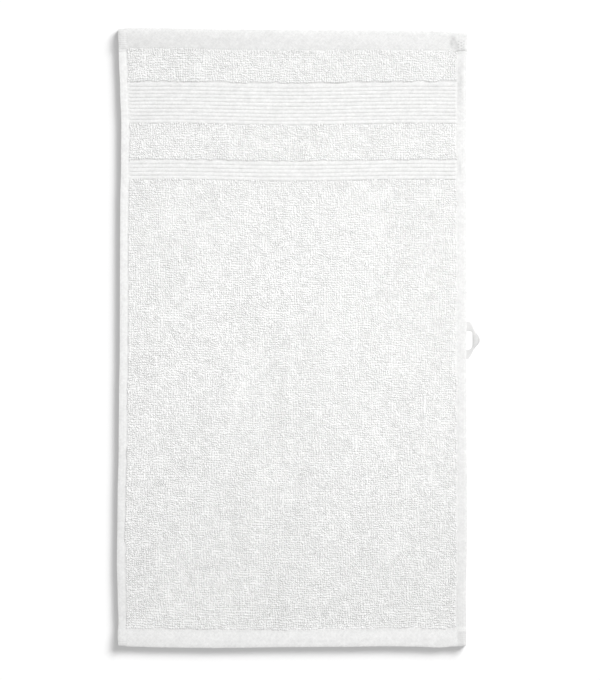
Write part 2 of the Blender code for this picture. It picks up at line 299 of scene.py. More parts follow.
# The loop's tape, as sections across it in millimetres. Its edges are measured out from the hem's edge, and
# along it from the loop's middle.
LOOP_FROM_PLAIN_END = 0.446
TAPE = table(
    "outer_out outer_along inner_out inner_along edge_high crown_high",
    (-9.0, 27.8, -9.0, 14.0, 1.5, 1.5),
    (0.8, 27.8, 0.8, 14.0, 1.5, 1.5),
    (5.3, 26.4, 4.6, 13.9, 1.5, 1.8),
    (8.8, 21.4, 7.2, 13.2, 1.5, 2.1),
    (11.3, 16.2, 8.5, 11.6, 1.5, 2.7),
    (15.2, 10.2, 8.8, 8.6, 1.6, 3.4),
    (18.2, 4.8, 8.8, 4.5, 1.6, 3.8),
    (19.1, 0.2, 8.8, 0.0, 1.6, 3.8),
    (17.3, -4.6, 8.8, -4.5, 1.6, 3.6),
    (13.4, -9.3, 8.5, -7.9, 1.6, 3.1),
    (9.7, -14.6, 7.4, -10.4, 1.5, 2.5),
    (7.7, -19.2, 5.6, -12.2, 1.5, 2.0),
    (4.2, -24.6, 3.4, -13.2, 1.5, 1.8),
    (0.8, -27.2, 0.8, -13.8, 1.5, 1.5),
    (-9.0, -27.2, -9.0, -13.8, 1.5, 1.5),
)
TAPE_THICKNESS = 0.0008
TAPE_RIM_SHARE = 0.35
TAPE_STEPS = 6
TAPE_COLUMNS = 27
TAPE_RIBS = 9
TAPE_RIB_DEPTH = 0.00009
# Painted shade on the tape: at its rucked turn and along its rims there, and on its arms, most at their inner
# rims
OUTER_RIM_SHADE = 0.9
INNER_RIM_SHADE = 0.5
RUCK_PAINTED_SHADE = 0.4
ARM_PAINTED_SHADE = 0.12
ARM_RIM_SHADE = 0.25
RIM_SHARPNESS = 3
ARM_SHARPNESS = 4
RUCK_REACH = 0.0135
RUCK_FADE = 0.006

# The map from above: its room at the left and below, and its size
MAP_MARGIN = 0.02
MAP_SIZE = (WIDTH + 0.06, LENGTH + 0.04)

# The photograph's view: straight down, with this much of the surface along the picture's longer side
FRAME_LENGTH = 0.9935
CAMERA_AIM = (0.0027, -0.0029)
LENS_MM = 135.0
SENSOR_MM = 36.0

# Cotton: noise counts from its low to its high values, and white is a touch warm
NOISE_RANGE = {"From Min": 0.3, "From Max": 0.7}
COTTON = {"Sheen Weight": 0.15, "Sheen Roughness": 0.6, "Specular IOR Level": 0.2}
COTTON_WARMTH = 0.994

# Each cotton's look. Its tones are noises: how large, how detailed, and between which two values.
Look = namedtuple("Look", "roughness bump_distance bump_strength tones")
LOOKS = {
    "pile_cotton": Look(0.95, 0.0002, 0.5, ((0.014, 3.0, 0.922, 0.93), (0.0042, 2.0, 0.93, 1.045))),
    "ground_cotton": Look(
        0.9, 0.00012, 0.6, ((0.01, 3.0, 0.812, 0.872), (0.0034, 2.0, 0.955, 1.045), (0.0014, 1.0, 0.97, 1.03))
    ),
    "underside_cotton": Look(0.95, 0.003, 0.7, ((0.03, 3.0, 0.9, 0.94),)),
    # The tape's darker white is partly painted shade
    "tape_cotton": Look(0.85, 0.00012, 0.6, ((0.004, 3.0, 0.73, 0.78),)),
    "sewing_thread": Look(0.7, 0.0001, 0.5, ((0.002, 2.0, 0.84, 0.9),)),
}

# A wave texture's pitch at scale 1
WAVE_PITCH = FULL_TURN / 20.0

# How strongly the weaves and the painted shade change the brightness, and the pitches of the plain weaves
DIAMOND_TINT = 0.045
DIAMOND_BUMP = 0.4
LINE_TINT = 0.16
DOT_TINT = -0.28
GROUND_SHADE = -0.14
TAPE_SHADE = -0.22
# Painted shade between the underside's lumps
LUMP_SHADE = -0.25
LUMP_BRIGHTNESS = 1.05
GROUND_WEAVE_PITCH = 0.0011
TAPE_WEAVE_PITCH = 0.0009
FIBRE_SIZE = 0.0006
THREAD_FIBRE_SIZE = 0.0004

# Light: an even sky, a soft key and an overhead spot on the towel, and low suns for its shadow on the floor
SKY = 0.47
BACKGROUND = 1.0
Sun = namedtuple("Sun", "strength elevation azimuth softness")
KEY = Sun(1.45, 32.0, 55.0, 50.0)
FILL = Sun(0.69, 90.0, 0.0, 60.0)
LOW_SUN = Sun(4.67, 6.9, 47.8, 6.0)
LOW_TURNS = (-13.0, 0.0, 13.0)
HIGH_SUN = Sun(0.7, 13.0, 50.0, 9.0)
SPOT_POWER = 54.8
SHARED_SPOT = 0.7
SPOT_PLACE = (0.14, 0.17, 2.2)
SPOT_CONE = 39.5
SPOT_RADIUS = 0.35
FLOOR_SIZE = 60.0
FLOOR_WHITE = (0.98, 0.98, 0.98, 1.0)


def eased(share):
    """0 to 1 with level ends."""
    share = np.clip(share, 0.0, 1.0)
    return share * share * (3.0 - 2.0 * share)


def faded(share):
    """1 to 0 with level ends."""
    return 1.0 - eased(share)


def waves(place, rows):
    """The sum of some waves at a place."""
    return sum(row.size * np.sin(place / row.length + row.start) for row in rows)


def table_value(rows, at):
    """A table's second column, in millimetres, at places in its first, eased between rows."""
    places, values = np.array(rows).T * MM
    at = np.clip(at, places[0], places[-1])
    before = np.clip(np.searchsorted(places, at, side="right") - 1, 0, len(rows) - 2)
    share = eased((at - places[before]) / (places[before + 1] - places[before]))
    return values[before] + (values[before + 1] - values[before]) * share


def left_edge(from_end):
    """Where the left edge lies at a distance from the bordered end."""
    return -WIDTH / 2 - table_value(LEFT_EDGE, LENGTH - from_end)


def right_edge(from_end):
    """Where the right edge lies at a distance from the bordered end."""
    return WIDTH / 2 + table_value(RIGHT_EDGE, LENGTH - from_end)


def side_depths(from_end, x):
    """How far in from the left and from the right edge a place lies."""
    return x - left_edge(from_end), right_edge(from_end) - x


def weft_place(from_end, x):
    """Where a line of the weft lies: it follows the ends near them, and bows between."""
    across = np.clip(x + WIDTH / 2, 0.0, WIDTH)
    near_reach = np.maximum(0.0, 1.0 - from_end / EDGE_REACH)
    far_reach = np.maximum(0.0, 1.0 - (LENGTH - from_end) / EDGE_REACH)
    bow = WEFT_BOW * np.cos(FULL_TURN * x / WEFT_BOW_LENGTH) * (1.0 - near_reach) * (1.0 - far_reach)
    ends = near_reach * table_value(BORDERED_END, across) - far_reach * table_value(PLAIN_END, across)
    return LENGTH / 2 - from_end - bow + ends


def swell(x, y):
    """The pile's soft swells and fold creases, as a height."""
    height = np.zeros_like(x)
    for wave in SWELLS:
        turns = FULL_TURN / wave.length
        ahead = x * math.cos(wave.turn) + y * math.sin(wave.turn)
        beside = y * math.cos(wave.turn) - x * math.sin(wave.turn)
        height += wave.depth * (np.sin(turns * ahead + wave.start) + np.sin(turns * beside - wave.start))
    for from_crease in (y - (LENGTH / 2 - CROSS_CREASE_FROM_END), x):
        height -= CREASE_DEPTH * faded(np.abs(from_crease) / CREASE_WIDTH)
    return height


def smooth_rows(rows, steps):
    """Rows of numbers with more between them, on smooth curves."""
    padded = np.concatenate((rows[:1], rows, rows[-1:]))
    slopes = (padded[2:] - padded[:-2]) / 2
    made = []
    for start, end, lead, trail in zip(rows[:-1], rows[1:], slopes[:-1], slopes[1:]):
        for step in range(steps):
            t = step / steps
            curve = start * (2 * t**3 - 3 * t**2 + 1) + lead * (t**3 - 2 * t**2 + t)
            made.append(curve + end * (3 * t**2 - 2 * t**3) + trail * (t**3 - t**2))
    return np.array([*made, rows[-1]])


def folded(profile, inward):
    """A hem's height: a round fold, then a smooth curve through its profile."""
    steps = np.array(profile) * MM
    (_, edge), (reach, shoulder) = steps[:2]
    share = np.clip(1.0 - inward / reach, 0.0, 1.0)
    rounding = (shoulder - edge) * np.sqrt(1.0 - share * share)
    curve = smooth_rows(steps[1:], PROFILE_STEPS)
    return np.where(share > 0.0, edge + rounding, np.interp(inward, *curve.T))


def seam_groove(inward, seam):
    """How far a seam draws the cloth down."""
    return SEAM_DEPTH * faded(np.abs(inward - seam) / SEAM_WIDTH)


def zigzag(value, size):
    """A value that goes from 0 to a size and back."""
    return size - np.abs(value % (2.0 * size) - size)


def diamonds(across, inward):
    """The relief of the hems' weave, which fades out at the fold."""
    half = DIAMOND_PITCH / 2.0
    relief = DIAMOND_DEPTH * ((zigzag(across, half) + zigzag(inward, half)) / half - 1.0)
    return relief * eased(inward / DIAMOND_FADE)


def end_hem_height(end_inward, x, y):
    """The height of an end hem, with its weave and slanting puckers."""
    height = folded(END_HEM, end_inward) - seam_groove(end_inward, END_SEAM) + diamonds(x, end_inward)
    by_plain_seam = (y < 0.0) & (end_inward > 0.5 * END_SEAM)
    height = np.where(by_plain_seam, np.maximum(height, SEAM_FLOOR), height)
    turns = FULL_TURN * (x - PUCKER_SLANT * y) / PUCKER_PITCH + waves(x, PUCKER_WAVES)
    depth = PUCKER_DEPTH * eased(end_inward / FOLD_REACH) * eased((END_SEAM - end_inward) / END_PUCKER_FADE)
    return height + depth * np.sin(turns)


def side_hem_height(profile, seam, inward, y):
    """The height of a side hem, with ridges along it and puckers across it."""
    past_fold = eased(inward / FOLD_REACH)
    height = folded(profile, inward) - SIDE_SEAM_SHARE * seam_groove(inward, seam)
    height += SIDE_RIDGE_DEPTH * np.sin(FULL_TURN * inward / SIDE_RIDGE_PITCH) * past_fold
    depth = SIDE_PUCKER_SHARE * PUCKER_DEPTH * past_fold * eased((seam - inward) / SIDE_PUCKER_FADE)
    return height + depth * np.sin(FULL_TURN * y / SCALLOP_PITCH + waves(y, SIDE_PUCKER_WAVES))


def border_end(border):
    """How far a border's end is from the bordered end."""
    return border.start + border.extra + border.ribs * border.pitch


def ribs_past(from_end, border):
    """How many ribs of a border lie before a place. The first is wider."""
    past = from_end - border.start
    first = border.pitch + border.extra
    return np.where(past < first, past / first, (past - border.extra) / border.pitch)


def along_rib(x, rib, rows):
    """Two waves along a rib, one times the other, different on each rib."""
    return np.prod([np.sin(x / row.length + row.shift * rib) for row in rows], axis=0)


def rib_place(from_end, x, border):
    """Which of a border's wandering ribs a place is on, and how far across it from 0 to 1."""
    ribs = ribs_past(from_end, border)
    rib = np.floor(ribs)
    wander = RIB_WANDER * along_rib(x, rib, WANDER_WAVES)
    return rib, np.clip(ribs - rib + wander * np.sin(math.pi * (ribs - rib)), 0.0, 1.0)


def border_height(from_end, x, border):
    """The height of a border's ribs: broad round crowns, narrow grooves."""
    rib, phase = rib_place(from_end, x, border)
    crown = np.sqrt(np.clip(1.0 - np.abs(2.0 * phase - 1.0) ** RIB_SHARPNESS, 0.0, 1.0))
    uneven = 1.0 - RIB_UNEVENNESS * (0.5 + 0.5 * along_rib(x, rib, UNEVEN_WAVES))
    return BORDER_HEIGHT + RIB_HEIGHT * crown * uneven


def between_hems_height(from_end, x, y):
    """The height between the side hems: the loops' ground and the borders."""
    height = GROUND_HEIGHT + swell(x, y)
    for border in BORDERS:
        end = border_end(border)
        beside = (from_end >= border.start - TRENCH_WIDTH) & (from_end <= end + TRENCH_WIDTH)
        inside = (from_end >= border.start) & (from_end <= end)
        height = np.where(beside, TRENCH_HEIGHT, height)
        ribs = border_height(np.minimum(from_end, end - LAST_RIB_INSET), x, border)
        height = np.where(inside, ribs, height)
    return height


def hollow_share(from_end, right_inward):
    """How far into the proud corner's hollow a place is, from 0 to 1."""
    along = (from_end - HOLLOW.from_end) / HOLLOW.along
    middle = HOLLOW.inward - HOLLOW.slant * (from_end - HOLLOW.from_end)
    outward = np.hypot((right_inward - middle) / HOLLOW.across, along)
    beside_block = eased((right_inward - BLOCK_REACH) / STEP_WIDTH + 1.0)
    return faded((1.0 + HOLLOW_FLOOR) * outward - HOLLOW_FLOOR) * beside_block


def past_step(from_end, right_inward):
    """How far a place lies past the proud corner's slanting step."""
    return from_end - STEP_FROM_END - STEP_SLANT * right_inward


def step_share(from_end, right_inward):
    """How far into the proud corner's step a place is, from 0 to 1."""
    before_end = eased((STEP_REACH - right_inward) / STEP_WIDTH)
    after_start = eased((right_inward - STEP_INSET) / STEP_WIDTH)
    from_line = np.abs(past_step(from_end, right_inward))
    return faded(from_line / STEP_WIDTH) * (before_end * after_start)


def proud_corner(from_end, right_inward):
    """The relief of the proud corner: its block, hollow and step."""
    hollow = HOLLOW.depth * hollow_share(from_end, right_inward)
    step = STEP_DEPTH * step_share(from_end, right_inward)
    block = BLOCK_RISE * eased(-past_step(from_end, right_inward) / STEP_WIDTH) * (right_inward < BLOCK_REACH)
    return block - np.maximum(hollow, step)


def trough_share(from_end, right_inward, trough):
    """How far into a trough a place is, from 0 to 1."""
    across = faded(np.abs(right_inward - trough.inward) / trough.across)
    return across * faded(np.abs(from_end - trough.from_end) / trough.along)


def cloth_height(from_end, x, y):
    """The height of the cloth's top face, without its loops."""
    end_inward = end_depth(from_end)
    left_inward, right_inward = side_depths(from_end, x)
    in_end, in_left = end_inward <= END_REACH, left_inward <= LEFT_REACH
    in_side = in_left | (right_inward <= RIGHT_REACH)
    left_hem = side_hem_height(LEFT_HEM, LEFT_SEAM, left_inward, y)
    side = np.where(in_left, left_hem, side_hem_height(RIGHT_HEM, RIGHT_SEAM, right_inward, y))
    end = end_hem_height(end_inward, x, y)
    inward = np.minimum(np.where(in_left, left_inward, right_inward), end_inward)
    crossing = np.minimum(side, end) + HEM_CROSSING * eased(inward / CROSSING_EDGE)
    height = np.where(in_side, side, between_hems_height(from_end, x, y))
    height = np.where(in_end, np.where(in_side, crossing, end), height)
    for trough in TROUGHS:
        height -= trough.depth * trough_share(from_end, right_inward, trough)
    past_fold = eased(np.minimum(right_inward, from_end) / FOLD_REACH)
    return height + proud_corner(from_end, right_inward) * past_fold


def rounded_corner(side_inward, end_inward):
    """How far points near a corner move in from its side and end, to round it."""
    across = np.clip(1.0 - side_inward / CORNER_RADIUS, 0.0, 1.0)
    along = np.clip(1.0 - end_inward / CORNER_RADIUS, 0.0, 1.0)
    side_move = CORNER_RADIUS * across * (1.0 - np.sqrt(1.0 - along * along / 2.0))
    end_move = CORNER_RADIUS * along * (1.0 - np.sqrt(1.0 - across * across / 2.0))
    return side_move, end_move


def scallop(place, inward):
    """How far the puckers draw the outline in."""
    wave = np.sin(FULL_TURN * place / SCALLOP_PITCH + waves(place, SCALLOP_WAVES))
    return SCALLOP_DEPTH * (0.5 + 0.5 * wave) * faded(inward / SCALLOP_REACH)


def end_depth(from_end):
    """How far in from the nearer end a place lies, on END_HEM's scale."""
    return np.minimum(from_end / BORDERED_HEM_SHARE, LENGTH - from_end)


def hem_marks(reach):
    """How far in from the edge a hem of some width has points."""
    first = HEM_MARKS[-1] * MM
    steps = round((reach - first) / HEM_ROW_PITCH)
    inner = [first + (reach - first) * step / steps for step in range(1, steps + 1)]
    return [mark * MM for mark in HEM_MARKS] + inner


def even_marks(first, last, pitch):
    """Even marks between two places, both left out."""
    steps = max(2, round((last - first) / pitch))
    return [first + (last - first) * step / steps for step in range(1, steps)]


def ground_rows():
    """How far from the bordered end the ground has points."""
    marks = [mark * BORDERED_HEM_SHARE for mark in hem_marks(END_REACH)]
    marks = [mark for mark in marks if mark < STEP_ROWS_START] + [STEP_ROWS_START]
    marks += even_marks(STEP_ROWS_START, STEP_ROWS_END, STEP_ROW_PITCH) + [STEP_ROWS_END]
    for border in BORDERS:
        trench = border.start - TRENCH_WIDTH
        marks += even_marks(marks[-1], trench - TRENCH_SLOPE, GROUND_ROW_PITCH)
        marks += [trench - TRENCH_SLOPE, trench, border.start - TRENCH_SLOPE]
        second = border.start + border.extra + border.pitch
        place = border_end(border)
        marks += np.linspace(border.start, second, RIB_ROWS + 1).tolist()
        marks += np.linspace(second, place, (border.ribs - 1) * RIB_ROWS + 1)[1:].tolist()
        marks += [place + TRENCH_SLOPE, place + TRENCH_WIDTH, place + (TRENCH_WIDTH + TRENCH_SLOPE)]
    far_hem = [LENGTH - mark for mark in reversed(hem_marks(END_REACH))]
    marks += even_marks(marks[-1], far_hem[0], GROUND_ROW_PITCH)
    return np.array(marks + far_hem)


def ground_columns(from_end):
    """The places of the ground's points across the cloth, row by row."""
    left, right = left_edge(from_end)[:, None], right_edge(from_end)[:, None]
    left_marks, right_marks = np.array(hem_marks(LEFT_REACH)), np.array(hem_marks(RIGHT_REACH))
    inner_left, inner_right = left + left_marks[-1], right - right_marks[-1]
    shares = np.array(even_marks(0.0, 1.0, GROUND_COLUMN_PITCH / WIDTH))
    field = inner_left + (inner_right - inner_left) * shares
    return np.concatenate((left + left_marks, field, right - right_marks[::-1]), axis=1)


def pile_bands():
    """The stretches of pile as pairs of distances from the bordered end."""
    stretches = []
    first = END_REACH * BORDERED_HEM_SHARE + PILE_START
    for border in BORDERS:
        stretches.append((first, border.start - PILE_GAP))
        first = border_end(border) + PILE_GAP
    stretches.append((first, LENGTH - END_REACH + PILE_OVERLAP))
    return stretches


def pile_covers(from_end):
    """Whether rows of the ground lie well under the pile."""
    covered = np.zeros(len(from_end), bool)
    for first, last in pile_bands():
        covered |= (from_end > first + PILE_MARGIN) & (from_end < last - TRENCH_WIDTH)
    return covered


def groove_shade_dashes(x, groove, order):
    """How much painted shade a border's grooves have, from 0 to 1, in dashes that differ by groove."""
    dark = DASH_MEAN
    for dash in DASHES:
        row = (groove + DASH_ROWS * order) * dash.length - LENGTH / 2
        dark = dark + dash.share * noise_field(x, row, dash.length, "grooves")
    return np.clip(dark, 0.0, 1.0)


def hem_painted_shade(from_end, x):
    """How much painted shade a hem has against the ground's mean; below zero it is painted light."""
    across, along = x / WIDTH + 0.5, from_end / LENGTH
    left, right, plain = (
        np.interp(share, (0.0, 1.0), ends)
        for share, ends in ((along, LEFT_PAINTED_SHADE), (along, RIGHT_PAINTED_SHADE), (across, PLAIN_PAINTED_SHADE))
    )
    bordered = BORDERED_PAINTED_SHADE + INNER_PAINTED_SHADE * (1.0 - across) * eased(from_end / INNER_REACH)
    end = np.where(from_end < LENGTH / 2, bordered, plain)
    return np.where(end_depth(from_end) < END_REACH + PAINTED_SHADE_SHIFT, end, np.where(x < 0.0, left, right))


def groove_painted_shade(from_end, x, order, border):
    """How much painted shade a border has in its grooves."""
    _, phase = rib_place(from_end, x, border)
    groove = np.round(ribs_past(from_end, border))
    depth = np.abs(2.0 * phase - 1.0) ** GROOVE_SHARPNESS * groove_shade_dashes(x, groove, order)
    depth = np.where(groove == 0, depth * border.first_groove, depth)
    return np.where(groove == border.ribs, depth * border.last_groove, depth)


def dullness(from_end, x):
    """How much darker the ground is than its mean, from place to place: mostly painted shade, painted light
    where below zero, with the whiter ground under the pile and darker lined corners.
    """
    right_inward = right_edge(from_end) - x
    between = (x > left_edge(from_end) + LEFT_REACH) & (x < right_edge(from_end) - RIGHT_REACH)
    shade = hem_painted_shade(from_end, x)
    # The whiter ground under the pile, shifted towards the plain end: painted light over the plain end's seam
    # shade
    past = from_end - PAINTED_SHADE_SHIFT
    for first, last in pile_bands():
        shade = np.where(between & (past > first) & (past < last), -PILE_BRIGHTNESS, shade)
    for order, border in enumerate(BORDERS):
        inside = (from_end > border.start - TRENCH_WIDTH) & (from_end < border_end(border) + TRENCH_WIDTH)
        grooves = np.maximum(groove_painted_shade(from_end, x, order, border), shade)
        shade = np.where(inside & between, grooves, shade)
    shade = np.where(corner_lines(from_end, x) > 0.0, CORNER_DARKENING, shade)
    # Painted shade in the troughs
    for trough in TROUGHS:
        shade = shade + trough.dullness * trough_share(from_end, right_inward, trough)
    # Painted shade in the proud corner's hollow, in blotches, and a painted shadow along its step
    blotches = 1.0 + HOLLOW_BLOTCHES * noise_field(x, from_end - LENGTH / 2, HOLLOW_BLOTCH_SIZE, "hollow")
    hollow = HOLLOW.dullness * hollow_share(from_end, right_inward) * blotches
    shade = shade + np.maximum(hollow, STEP_PAINTED_SHADOW * step_share(from_end, right_inward))
    # Painted shade along the seams across the tape's roots
    from_loop = LENGTH - from_end - LOOP_FROM_PLAIN_END
    for low, high in ROOT_SPANS:
        at_root = (from_loop > low * MM) & (from_loop < high * MM)
        for seam in ROOT_SEAMS:
            near = faded(np.abs(right_inward - seam) / ROOT_SEAM_WIDTH)
            shade = shade + ROOT_PAINTED_SHADE * near * at_root
    return shade


def corner_lines(from_end, x):
    """How strongly a corner's weave shows lines, from 0 to 1."""
    lines = np.zeros_like(x)
    for corner in LINED_CORNERS:
        side_inward = side_depths(from_end, x)[0 if corner.at_left else 1]
        at_end = (from_end < LENGTH / 2) == corner.at_bordered
        inside = (side_inward < corner.side_reach) & (end_depth(from_end) < corner.end_reach) & at_end
        lines = np.where(inside, corner.strength, lines)
    return lines


def weave_marks(from_end, x):
    """How strongly the ground shows its diamonds, lines and dots, from 0 to 1."""
    lines = corner_lines(from_end, x)
    right_inward = right_edge(from_end) - x
    block = (right_inward < BLOCK_REACH) & (past_step(from_end, right_inward) < -STEP_WIDTH)
    dots = block & (right_inward > DOTS_INWARD) & (from_end > DOTS_FROM_END)
    diamonds_show = (end_depth(from_end) < END_REACH) & (lines == 0.0) & ~block
    return {"diamonds": diamonds_show * 1.0, "lines": lines, "dots": dots * 1.0}


def ground_points():
    """The ground's top points, as rows by columns by three, and its material's marks there."""
    from_end = ground_rows()
    x = ground_columns(from_end)
    from_end = np.broadcast_to(from_end[:, None], x.shape)
    y = weft_place(from_end, x)
    z = cloth_height(from_end, x, y)
    marks = weave_marks(from_end, x)
    marks["shade"] = dullness(from_end, x) + DOTS_DULLNESS * marks["dots"]
    end_inward = end_depth(from_end)
    left_inward, right_inward = side_depths(from_end, x)
    side_inward = np.minimum(left_inward, right_inward)
    side_move, end_move = rounded_corner(side_inward, end_inward)
    side_move = side_move + scallop(y, side_inward) * SIDE_SCALLOP_SHARE
    end_move = end_move + scallop(x, end_inward)
    x = x + np.where(left_inward < right_inward, side_move, -side_move)
    y = y + np.where(from_end < LENGTH / 2, -end_move, end_move)
    return np.stack((x, y, z), axis=-1), marks


def wide_faces(grid, row, cells, upper, lower):
    """Faces from cell to cell between two rows, through all points of the upper or lower if asked."""
    faces = []
    for first, last in zip(cells[:-1], cells[1:]):
        below = grid[row + 1, first : last + 1] if lower else grid[row + 1, [first, last]]
        above = grid[row, last:first:-1] if upper else grid[row, [last]]
        faces.append([int(grid[row, first]), *below.tolist(), *above.tolist()])
    return faces


def top_faces(covered, columns):
    """Faces of the top: a fine grid, with wide cells where the pile covers it."""
    rows = len(covered)
    grid = np.arange(rows * columns).reshape(rows, columns)
    fine = np.stack((grid[:-1, :-1], grid[1:, :-1], grid[1:, 1:], grid[:-1, 1:]), axis=-1)
    left, right = len(hem_marks(LEFT_REACH)), columns - len(hem_marks(RIGHT_REACH))
    wide = covered[:-1] | covered[1:]
    faces = []
    for part in (fine[~wide], fine[wide][:, :left], fine[wide][:, right - 1 :]):
        faces += part.reshape(-1, 4).tolist()
    cells = np.linspace(left, right - 1, WIDE_CELLS + 1).round().astype(int)
    for row in np.flatnonzero(wide):
        faces += wide_faces(grid, row, cells, not covered[row], not covered[row + 1])
    return faces


def rim_indices(rows, columns):
    """The indices of a grid's outer points, once round it."""
    grid = np.arange(rows * columns).reshape(rows, columns)
    return np.concatenate((grid[:, 0], grid[-1, 1:-1], grid[::-1, -1], grid[0, -2:0:-1]))


def under_fold(points, inset, height):
    """Points below the rim of the cloth, drawn in under its fold."""
    rows, columns = points.shape[:2]
    rim = rim_indices(rows, columns)
    row, column = rim // columns, rim % columns
    move_x = np.where(column == 0, inset, np.where(column == columns - 1, -inset, 0.0))
    move_y = np.where(row == 0, -inset, np.where(row == rows - 1, inset, 0.0))
    at = points.reshape(-1, 3)[rim]
    return np.stack((at[:, 0] + move_x, at[:, 1] + move_y, np.full(len(rim), height)), axis=-1)


def underside_faces(rows, columns, foot_start):
    """Faces of the flat underside, coarse inside its rim, and the columns of its points."""
    rim = rim_indices(rows, columns)
    cells = np.linspace(0, columns - 1, UNDERSIDE_CELLS + 1).round().astype(int)
    grid = np.zeros((rows, columns), int)
    grid.ravel()[rim] = foot_start + np.arange(len(rim))
    inner = np.arange((rows - 2) * (UNDERSIDE_CELLS - 1)).reshape(rows - 2, -1)
    grid[1:-1, cells[1:-1]] = foot_start + len(rim) + inner
    faces = []
    for row in range(rows - 1):
        faces += wide_faces(grid, row, cells, row == 0, row == rows - 2)
    return [[face[0], *face[:0:-1]] for face in faces], cells


def ground_mesh(name):
    """The woven cloth as one closed skin, with its folded edges and flat underside."""
    top, marks = ground_points()
    rows, columns = top.shape[:2]
    bend = under_fold(top, UNDERSIDE_INSET * BEND_SHARE, UNDERSIDE_BEND)
    foot = under_fold(top, UNDERSIDE_INSET, 0.0)
    bend_start = rows * columns
    foot_start = bend_start + len(bend)
    bottom_faces, cells = underside_faces(rows, columns, foot_start)
    inner = top[1:-1, cells[1:-1]].reshape(-1, 3) * (1.0, 1.0, 0.0)
    faces = top_faces(pile_covers(ground_rows()), columns)
    rim = rim_indices(rows, columns).tolist()
    for order, index in enumerate(rim):
        after = (order + 1) % len(rim)
        faces.append([index, bend_start + order, bend_start + after, rim[after]])
        faces.append([bend_start + order, foot_start + order, foot_start + after, bend_start + after])
    upper_faces = len(faces)
    faces += bottom_faces
    points = np.concatenate((top.reshape(-1, 3), bend, foot, inner))
    used, joined = np.unique(np.concatenate(faces), return_inverse=True)
    splits = np.cumsum([len(face) for face in faces])[:-1]
    data = bpy.data.meshes.new(name)
    data.from_pydata(points[used].tolist(), [], [part.tolist() for part in np.split(joined, splits)])
    for mark, values in marks.items():
        add_mark(data, mark, np.concatenate((values.ravel(), np.zeros(len(points) - values.size)))[used])
    data.polygons.foreach_set("material_index", (np.arange(len(faces)) >= upper_faces).astype(np.int32))
    data.shade_smooth()
    return data


def add_mark(data, name, values):
    """Gives a mesh a number at each of its points."""
    data.attributes.new(name, "FLOAT", "POINT").data.foreach_set("value", values.astype(np.float32))


def noise_field(x, y, cell, purpose):
    """Smooth noise from -1 to 1 over the cloth, with humps about one cell across."""
    columns, rows = int(WIDTH / cell) + NOISE_MARGIN, int(LENGTH / cell) + NOISE_MARGIN
    values = np.random.default_rng([SEED, NOISES.index(purpose)]).uniform(-1.0, 1.0, (columns, rows))
    across, along = (x + WIDTH / 2) / cell + 1.0, (y + LENGTH / 2) / cell + 1.0
    column = np.clip(np.floor(across).astype(int), 0, columns - 2)
    row = np.clip(np.floor(along).astype(int), 0, rows - 2)
    right, up = eased(across - column), eased(along - row)
    low = values[column, row] * (1.0 - right) + values[column + 1, row] * right
    high = values[column, row + 1] * (1.0 - right) + values[column + 1, row + 1] * right
    return low * (1.0 - up) + high * up


def clumps(x, y, purpose):
    """Noise of all clump sizes together."""
    return sum(noise_field(x, y, size, purpose) for size in CLUMP_SIZES)


# The faces of one arch of yarn: two pointed feet, and three rings of four points between them
ARCH_RING = 4
RING_SIDES = ((0, 1), (1, 2), (2, 3), (3, 0))
ARCH_FACES = [(0, 1 + after, 1 + side) for side, after in RING_SIDES]
for low, high in ((1, 5), (5, 9)):
    ARCH_FACES += [(low + side, low + after, high + after, high + side) for side, after in RING_SIDES]
ARCH_FACES += [(13, 9 + side, 9 + after) for side, after in RING_SIDES]


def unit(vectors):
    """Vectors of length one."""
    return vectors / np.linalg.norm(vectors, axis=-1, keepdims=True)


def arch_points(line, radius, flatness=1.0):
    """The points of arches of yarn, from five along each one's middle line."""
    foot, first, top, second, last = (line[:, index] for index in range(5))
    beside = unit(np.cross(last - foot, top - (foot + last) / 2))
    rings = []
    for middle, ahead in ((first, top - foot), (top, second - first), (second, last - top)):
        outward = np.cross(unit(ahead), beside) * flatness
        for turn in range(ARCH_RING):
            angle = FULL_TURN * turn / ARCH_RING
            rings.append(middle + radius[:, None] * (math.cos(angle) * beside + math.sin(angle) * outward))
    return np.stack((foot, *rings, last), axis=1)


def arches_mesh(name, points):
    """One mesh of many arches of yarn."""
    copies, size = points.shape[:2]
    corners = (np.arange(copies)[:, None] * size + np.concatenate(ARCH_FACES)).ravel()
    sizes = np.tile([len(face) for face in ARCH_FACES], copies)
    data = bpy.data.meshes.new(name)
    data.vertices.add(copies * size)
    data.vertices.foreach_set("co", points.astype(np.float32).ravel())
    data.loops.add(len(corners))
    data.loops.foreach_set("vertex_index", corners.astype(np.int32))
    data.polygons.add(len(sizes))
    data.polygons.foreach_set("loop_start", np.concatenate(([0], np.cumsum(sizes)[:-1])).astype(np.int32))
    data.update(calc_edges=True)
    data.shade_smooth()
    map_from_above(data)
    return data


def pile_lattice(first, last):
    """Where the loops of a stretch stand: x, and how far from the bordered end."""
    rows = round((last - first) / LOOP_ROW_PITCH)
    places = np.concatenate((FIRST_ROWS, np.arange(2, rows) + 0.5))
    from_end = first + places * (last - first) / rows
    left = left_edge(from_end) + LEFT_REACH - PILE_EDGE
    right = right_edge(from_end) - RIGHT_REACH + PILE_EDGE
    shares = (np.arange(LOOPS_ACROSS) + 0.5) / LOOPS_ACROSS
    x = (left[:, None] + (right - left)[:, None] * shares).ravel()
    from_end = np.repeat(from_end, LOOPS_ACROSS)
    right_inward = right_edge(from_end) - x
    bare = (right_inward < BARE_REACH) & (past_step(from_end, right_inward) < BARE_PAST_STEP)
    return x[~bare], from_end[~bare]


